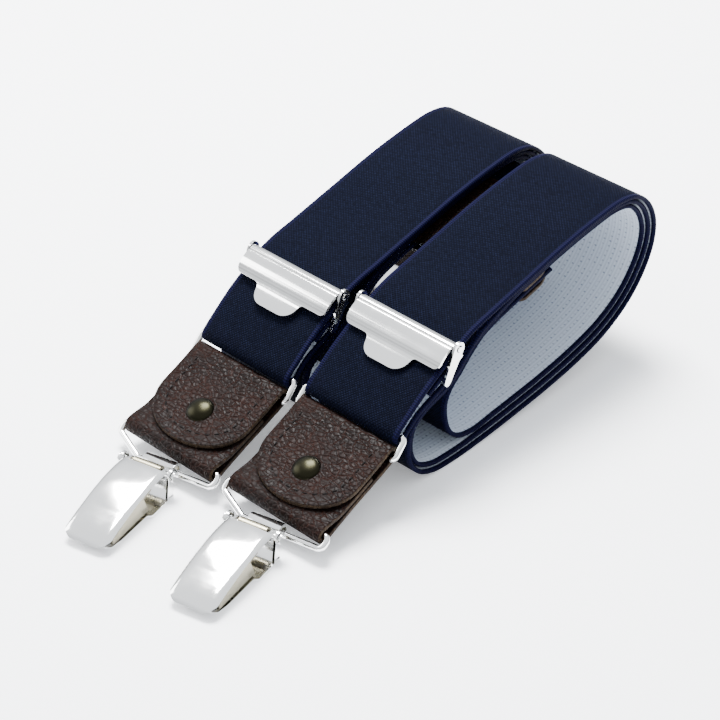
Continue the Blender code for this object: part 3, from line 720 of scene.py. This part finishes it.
def stitch(mesh, centre, run, up, length, radius):
    """One thread stitch: a short fat capsule sunk into the leather."""
    run = run.normalized()
    up = (up - run * up.dot(run)).normalized()
    third = run.cross(up)
    rings = []
    stops = [(-1.0, 0.25), (-0.8, 0.7), (-0.4, 1.0), (0.4, 1.0), (0.8, 0.7), (1.0, 0.25)]
    for along, size in stops:
        ring = []
        for k in range(8):
            a = 2 * PI * k / 8
            off = up * (math.sin(a) * radius * size - abs(along) ** 3 * radius * 1.3)
            at = centre + run * (along * length / 2) + off + third * (math.cos(a) * radius * size)
            ring.append(mesh.verts.new(at))
        rings.append(ring)
    for a, b in zip(rings, rings[1:]):
        for k in range(8):
            mesh.faces.new((a[k], a[(k + 1) % 8], b[(k + 1) % 8], b[k]))
    mesh.faces.new(rings[0][::-1])
    mesh.faces.new(rings[-1])


def tongue_height(y, path):
    """Height of the tongue's upper face at y."""
    near = [p for p in path[:len(path) // 3] if p.x > 0.001]
    return min(near, key=lambda p: abs(p.x - y)).y + HL


def stitch_line():
    """Even marks inside the tongue's edge, up one side, round the tip and down the other."""
    steps = 400
    edge = []
    for k in range(steps + 1):
        y = STITCH_START + (TONGUE_TIP - STITCH_START) * k / steps
        edge.append(Vector((tongue_half(y), y)))
    edge += [Vector((-p.x, p.y)) for p in reversed(edge[:-1])]
    line = []
    for i in range(1, len(edge) - 1):
        run = edge[i + 1] - edge[i - 1]
        if run.length < 1e-9:
            continue
        run.normalize()
        inner = edge[i] + Vector((-run.y, run.x)) * STITCH_MARGIN
        if abs(inner.x) > STRAP_WIDTH / 2 or inner.y > TONGUE_TIP - STITCH_MARGIN * 0.8:
            continue
        if not line or (inner - line[-1]).length > 0.0002:
            line.append(inner)
    return even(line, STITCH_PITCH)


def make_stitches(side, path, place, lean, body):
    marks = stitch_line()
    mesh = bmesh.new()
    for a, b in zip(marks, marks[1:]):
        middle = (a + b) / 2
        level_a = tongue_height(a.y, path)
        level_b = tongue_height(b.y, path)
        shift = -lean * middle.y / TAB_LENGTH
        centre = Vector((middle.x + shift, middle.y, (level_a + level_b) / 2 + STITCH_LIFT))
        run = Vector((b.x - a.x, b.y - a.y, level_b - level_a))
        stitch(mesh, centre, run, Vector((0, 0, 1)), STITCH_LENGTH, STITCH_RADIUS)
    bmesh.ops.recalc_face_normals(mesh, faces=mesh.faces)
    data = bpy.data.meshes.new(f"tab_stitches_{side}")
    mesh.to_mesh(data)
    mesh.free()
    data.shade_smooth()
    thread = new_object(f"tab_stitches_{side}", data, [THREAD], place)
    settle(thread, body, "leather")


def make_rivet(side, place, lean, body):
    seat = place @ Matrix.Translation((-lean * RIVET_AT / TAB_LENGTH, RIVET_AT, 0.0))
    top = TONGUE_LEVEL + LEATHER / 2 + GAP
    low = BACK_LEVEL - LEATHER / 2 - GAP
    dome = [(0.0, top + 0.0014)]
    for k in range(1, 13):
        a = k / 12 * DOME_ARC
        share = (math.cos(a) - math.cos(DOME_ARC)) / (1 - math.cos(DOME_ARC))
        dome.append((DOME_RADIUS * math.sin(a) / math.sin(DOME_ARC),
                     top - 0.0001 + DOME_RISE * share))
    dome += [(0.00415, top - 0.00018), (0.00405, top - 0.0003), (0.0013, top - 0.0003),
             (0.0013, low + 0.0001), (0.0, low + 0.0001)]
    cap = lathe(f"rivet_dome_{side}", dome, BRASS, seat)
    settle(cap, body, "antique_brass", f"rivet_cap_{side}")
    base = [(0.0, low - GAP), (0.0030, low - GAP), (0.0034, low - GAP - 0.0001),
            (0.0034, low - 0.0005), (0.0030, low - 0.0009), (0.0012, low - 0.0009),
            (0.0010, low - 0.0007), (0.0, low - 0.0007)]
    foot = lathe(f"rivet_foot_{side}", base, BRASS, seat)
    settle(foot, body, "antique_brass", f"rivet_back_{side}")


def make_tab(side, place, lean, body):
    path = tab_path()
    halves = []
    on_tongue = True
    for p in path:
        if p.x < TONGUE_END:
            on_tongue = False
        halves.append(tongue_half(p.x) if on_tongue else STRAP_WIDTH / 2)
    shifts = [-lean * p.x / TAB_LENGTH for p in path]
    tab = band(f"tab_leather_{side}", path, halves, shifts, HIDE_SECTION, [HIDE, HIDE_EDGE],
               place, HIDE_LOOKS)
    soften(tab, 60.0)
    settle(tab, body, "leather", f"leather_tab_{side}")
    make_stitches(side, path, place, lean, body)
    make_rivet(side, place, lean, body)


def lathe(name, profile, look, place, steps=40):
    mesh = bmesh.new()
    rings = []
    for r, h in profile:
        if r == 0.0:
            rings.append([mesh.verts.new((0.0, 0.0, h))])
        else:
            rings.append([mesh.verts.new((r * math.cos(2 * PI * k / steps),
                                          r * math.sin(2 * PI * k / steps), h))
                          for k in range(steps)])
    for a, b in zip(rings, rings[1:]):
        for k in range(steps):
            j = (k + 1) % steps
            if len(a) == 1:
                mesh.faces.new((a[0], b[k], b[j]))
            elif len(b) == 1:
                mesh.faces.new((a[k], b[0], a[j]))
            else:
                mesh.faces.new((a[k], b[k], b[j], a[j]))
    bmesh.ops.recalc_face_normals(mesh, faces=mesh.faces)
    data = bpy.data.meshes.new(name)
    mesh.to_mesh(data)
    mesh.free()
    return soften(new_object(name, data, [look], place), 40.0)


# ---------------------------------------------------------------- clip
COVER_LINE = smooth([(0.0078, 0.0066), (0.0110, 0.0068), (0.0160, 0.0066), (0.0220, 0.0056),
                     (0.0280, 0.0041), (0.0330, 0.0026), (0.0356, 0.0015), (0.0369, 0.0006),
                     (0.0378, -0.0005)], 0.0001)


def cover_height(x, y):
    """Nearly flat across, with its sides rolled down."""
    middle = min(COVER_LINE, key=lambda p: abs(p.x - y)).y
    wide = abs(x) / COVER_HALF
    return middle - 0.0003 * wide ** 2 - 0.0008 * wide ** 12


def cover_outline():
    """Straight rear edge, straight sides and two rounded corners at the tip."""
    half = [(COVER_HALF - 0.0004, COVER_START), (COVER_HALF, COVER_START + 0.0005)]
    for k in range(13):
        a = PI / 2 * k / 12
        half.append((COVER_HALF - COVER_CORNER * (1.0 - math.cos(a)),
                     COVER_TIP - COVER_CORNER * (1.0 - math.sin(a))))
    return half + [(-x, y) for x, y in reversed(half)]


COVER_EAR_IN, COVER_EAR_OUT = 0.0055, 0.0063
COVER_EAR_RADIUS = 0.0018


def make_clip(side, place):
    """The clip's pieces. The cover's two ears have no hole, so the pin passes through them."""
    cover = stamped(f"clip_cover_{side}", cover_outline(), cover_height, PLATE, 0.0004, 0.0006,
                    [NICKEL], place, 0.00018)
    parts = [cover]
    for s in (-1, 1):
        outline = arc((PIN_Y, PIN_Z), COVER_EAR_RADIUS, 0.75 * PI, 2 * PI, 14)
        outline += [Vector((0.0118, 0.0062)), Vector((0.0092, 0.0061))]
        parts.append(slab(outline, s * COVER_EAR_IN, s * COVER_EAR_OUT, [NICKEL], place))
    whole = joined(f"clip_cover_{side}", parts)
    settle(whole, f"lever_{side}", "polished_nickel", f"clip_lever_{side}")
    refined(f"clip_base_{side}", f"clip_{side}", "polished_nickel", NICKEL)
    # the jaw's dark, warm colour is a painted reflection of the leather, not the metal's own
    # colour
    refined(f"clip_jaw_{side}", f"jaw_{side}", "spring_steel", NICKEL_LEATHER_REFLECTION, 0.0001)
    refined(f"clip_pin_{side}", f"clip_{side}", "polished_nickel", NICKEL, 0.00008)
    refined(f"grip_pad_{side}", f"clip_{side}", "grip_pad", PAD, 0.00015)


def slab(outline, low, high, looks, place, edge=0.0001):
    mesh = bmesh.new()
    near = [mesh.verts.new((low, y, z)) for y, z in outline]
    far = [mesh.verts.new((high, y, z)) for y, z in outline]
    mesh.faces.new(near)
    mesh.faces.new(far[::-1])
    count = len(outline)
    for k in range(count):
        mesh.faces.new((near[k], near[(k + 1) % count], far[(k + 1) % count], far[k]))
    bmesh.ops.recalc_face_normals(mesh, faces=mesh.faces)
    data = bpy.data.meshes.new("slab")
    mesh.to_mesh(data)
    mesh.free()
    piece = new_object("slab", data, looks, place)
    soften(piece, 30.0)
    return bevelled(piece, edge, 2)


def rod(name, radius, half_length, look, place, sides=28, edge=0.00012):
    mesh = bmesh.new()
    bmesh.ops.create_cone(mesh, cap_ends=True, segments=sides, radius1=radius,
                          radius2=radius, depth=2 * half_length)
    bmesh.ops.rotate(mesh, matrix=Matrix.Rotation(PI / 2, 3, "Y"), verts=mesh.verts)
    data = bpy.data.meshes.new(name)
    mesh.to_mesh(data)
    mesh.free()
    piece = new_object(name, data, [look], place)
    soften(piece, 40.0)
    return bevelled(piece, edge, 2)


# ---------------------------------------------------------------- slider
FLAP_LINE = smooth([(-0.0009, 0.0004), (0.0, 0.0012), (0.0030, 0.0019), (0.0060, 0.0016),
                    (0.0086, 0.0006), (0.0105, 0.0003), (0.0142, 0.0005)], 0.0001)


def flap_outline():
    """Wide flap with a bell-shaped thumb tab."""
    wide, low, root, tip, reach = STRAP_WIDTH / 2 + 0.0001, 0.0086, 0.0086, 0.0070, 0.0142
    corners = [(-wide, -0.0009), (wide, -0.0009), (wide, low), (root, low), (tip, reach),
               (-tip, reach), (-root, low), (-wide, low)]
    radii = [0.0005, 0.0005, 0.0019, 0.0016, 0.0046, 0.0046, 0.0016, 0.0019]
    return [tuple(p) for p in rounded(corners, radii)]


def flap_height(x, y):
    groove = 0.00028 * math.exp(-((y - 0.0011) / 0.00022) ** 2)
    return min(FLAP_LINE, key=lambda p: abs(p.x - y)).y + 0.0004 - groove


def make_slider(side, front):
    place = front_place(front["x"], front["slider"], SLIDER_SLOPE)
    flap = stamped(f"slider_flap_{side}", flap_outline(), flap_height, 0.0008, 0.004, 0.00022,
                   [NICKEL], place, 0.0002)
    pin = rod(f"slider_pin_{side}", SLIDER_PIN, STRAP_WIDTH / 2 + 0.0015, NICKEL, place)
    whole = joined(f"slider_flap_{side}", [flap, pin])
    settle(whole, f"slider_lever_{side}", "polished_nickel", f"slider_lever_{side}")
    refined(f"slider_frame_{side}", "webbing", "polished_nickel", NICKEL)


# ---------------------------------------------------------------- yoke
def make_yoke(name, depth, node):
    steps = 60
    rows = [YOKE_NEAR + (YOKE_FAR - YOKE_NEAR) * k / steps for k in range(steps + 1)]
    line = inset(smooth(COIL_OUTER[:6], 0.0001), depth + YOKE_LEATHER / 2)
    path = [min(line, key=lambda p: abs(p.x - y)) for y in rows]
    narrow = STRAP_WIDTH / 2 + 0.002
    halves = []
    for k in range(steps + 1):
        part = k / steps
        corner = 0.0030 * max(0.0, 1.0 - part * steps / 5) ** 2
        corner += 0.0020 * max(0.0, 1.0 - (1 - part) * steps / 4) ** 2
        taper = 0.5 - 0.5 * math.cos(PI * min(1.0, max(0.0, (part - 0.25) / 0.75)))
        halves.append(YOKE_HALF + (narrow - YOKE_HALF) * taper - corner)
    thin = YOKE_LEATHER / LEATHER
    section = [(e, i, o * thin) for e, i, o in HIDE_SECTION]
    plate = band(name, path, halves, [0.0] * len(path), section, [HIDE, HIDE_EDGE],
                 SHIFT @ Matrix.Translation((YOKE_X, 0.0, 0.0)), HIDE_LOOKS)
    soften(plate, 60.0)
    return settle(plate, "webbing", "leather", node)


# ---------------------------------------------------------------- the suspenders
for side, front in FRONTS.items():
    make_strap(f"webbing_{side}", strap_path(front), (0.12, 1.0, -COIL_DRIFT), front["x"],
               f"elastic_strap_{side}")
    make_slider(side, front)


def hang(side, x, ring, lean, placer, slopes, skew, yaw):
    ring_slope, tab_slope, loop_slope, clip_slope = slopes
    corners = [(-RING_HALF, 0.0), (RING_HALF, 0.0), (RING_HALF, RING_DROP),
               (-RING_HALF, RING_DROP)]
    wire_loop(f"ring_wire_{side}", corners, [0.0016] * 4, RING_WIRE,
              placer(x, ring, ring_slope), f"ring_{side}", f"ring_{side}")
    lower = step_down(ring, RING_DROP, ring_slope)
    make_tab(side, placer(x, lower, tab_slope), lean, f"tab_{side}")
    x += lean
    loop = step_down(lower, TAB_LENGTH, tab_slope)
    rise = LOOP_NECK * math.tan(skew)
    corners = [(-LOOP_HALF, 0.0), (LOOP_HALF, 0.0), (LOOP_HALF, 0.0037),
               (LOOP_NECK + 0.0006, LOOP_DROP + rise), (-LOOP_NECK - 0.0006, LOOP_DROP - rise),
               (-LOOP_HALF, 0.0037)]
    wire_loop(f"loop_wire_{side}", corners, [0.0016] * 6, LOOP_WIRE,
              placer(x, loop, loop_slope), f"loop_{side}", f"wire_loop_{side}")
    neck = step_down(loop, LOOP_DROP, loop_slope)
    place = placer(x, neck, clip_slope, yaw) if yaw else placer(x, neck, clip_slope)
    make_clip(side, place)


for side, front in FRONTS.items():
    hang(side, front["x"], front["ring"], front["lean"], front_place,
         (RING_SLOPE, TAB_SLOPE, LOOP_SLOPE, 0.0), NECK_SKEW, math.radians(front["yaw"]))
make_strap("webbing_rear", rear_path(), (0.20, 0.66, REAR_X - YOKE_X), YOKE_X,
           "elastic_strap_rear")
hang("rear", REAR_X, tuple(rear_run()[1]), 0.0, rear_place,
     (REAR_RING_SLOPE, REAR_TAB_SLOPE, REAR_LOOP_SLOPE, REAR_CLIP_SLOPE), 0.0, 0.0)
make_yoke("yoke_leather_front", YOKE_CORE - YOKE_LEATHER - GAP, "yoke_front")
make_yoke("yoke_leather_back", YOKE_CORE + WEB + GAP, "yoke_back")

# ---------------------------------------------------------------- studio
floor_mesh = bpy.data.meshes.new("floor")
floor_mesh.from_pydata([(-6, -6, 0), (6, -6, 0), (6, 6, 0), (-6, 6, 0)], [], [(0, 1, 2, 3)])
floor_look = Look("floor paper", (0.93, 0.94, 0.96), 0.9)
floor_look.set(Specular_IOR_Level=0.1, Emission_Color=(0.96, 0.98, 1.0), Emission_Strength=0.3)
floor = new_object("floor", floor_mesh, [floor_look.material], Matrix.Identity(4))

ROOM_BOTTOM, ROOM_TOP = 0.05, 0.60           # heights between which the room brightens
ROOM_DIM, ROOM_BRIGHT = 0.50, 1.75
world = bpy.data.worlds.new("studio")
SCENE.world = world
world.use_nodes = True
back = world.node_tree.nodes["Background"]
# the room is darker near the horizon than overhead
facing = world.node_tree.nodes.new("ShaderNodeTexCoord")
upward = world.node_tree.nodes.new("ShaderNodeSeparateXYZ")
strength = world.node_tree.nodes.new("ShaderNodeMapRange")
link(world.node_tree, facing.outputs["Generated"], upward.inputs[0])
link(world.node_tree, upward.outputs[2], strength.inputs["Value"])
link(world.node_tree, strength.outputs[0], back.inputs["Strength"])
strength.inputs["From Min"].default_value = ROOM_BOTTOM
strength.inputs["From Max"].default_value = ROOM_TOP
strength.inputs["To Min"].default_value = ROOM_DIM
strength.inputs["To Max"].default_value = ROOM_BRIGHT
back.inputs["Color"].default_value = (0.93, 0.96, 1.0, 1.0)


def softbox(name, at, target, size, power, colour=(1.0, 1.0, 1.0)):
    lamp = bpy.data.lights.new(name, "AREA")
    lamp.shape = "RECTANGLE"
    lamp.size, lamp.size_y = size
    lamp.energy = power
    lamp.color = colour
    made = bpy.data.objects.new(name, lamp)
    SCENE.collection.objects.link(made)
    made.location = at
    made.rotation_euler = (Vector(target) - Vector(at)).to_track_quat("-Z", "Y").to_euler()
    return made


AIM = (0.0, 0.0, 0.02)
softbox("overhead", (-0.30, 0.22, 0.85), AIM, (0.42, 0.42), 46.0)
softbox("left", (-0.75, -0.35, 0.45), AIM, (0.5, 0.5), 7.0)

CAMERA_TARGET = Vector((-0.002339, 0.005048, 0.0148)) + CENTRING
CAMERA_AZIMUTH, CAMERA_ELEVATION = math.radians(43.588), math.radians(35.616)
CAMERA_DISTANCE = 0.71172
SENSOR_WIDTH, FOCAL_LENGTH = 36.0, 122.7     # in millimetres
camera = bpy.data.objects.new("camera", bpy.data.cameras.new("camera"))
SCENE.collection.objects.link(camera)
away = Vector((math.sin(CAMERA_AZIMUTH) * math.cos(CAMERA_ELEVATION),
               -math.cos(CAMERA_AZIMUTH) * math.cos(CAMERA_ELEVATION),
               math.sin(CAMERA_ELEVATION)))
camera.location = CAMERA_TARGET + away * CAMERA_DISTANCE
camera.rotation_euler = (-away).to_track_quat("-Z", "Y").to_euler()
camera.data.sensor_width = SENSOR_WIDTH
camera.data.lens = FOCAL_LENGTH
SCENE.camera = camera
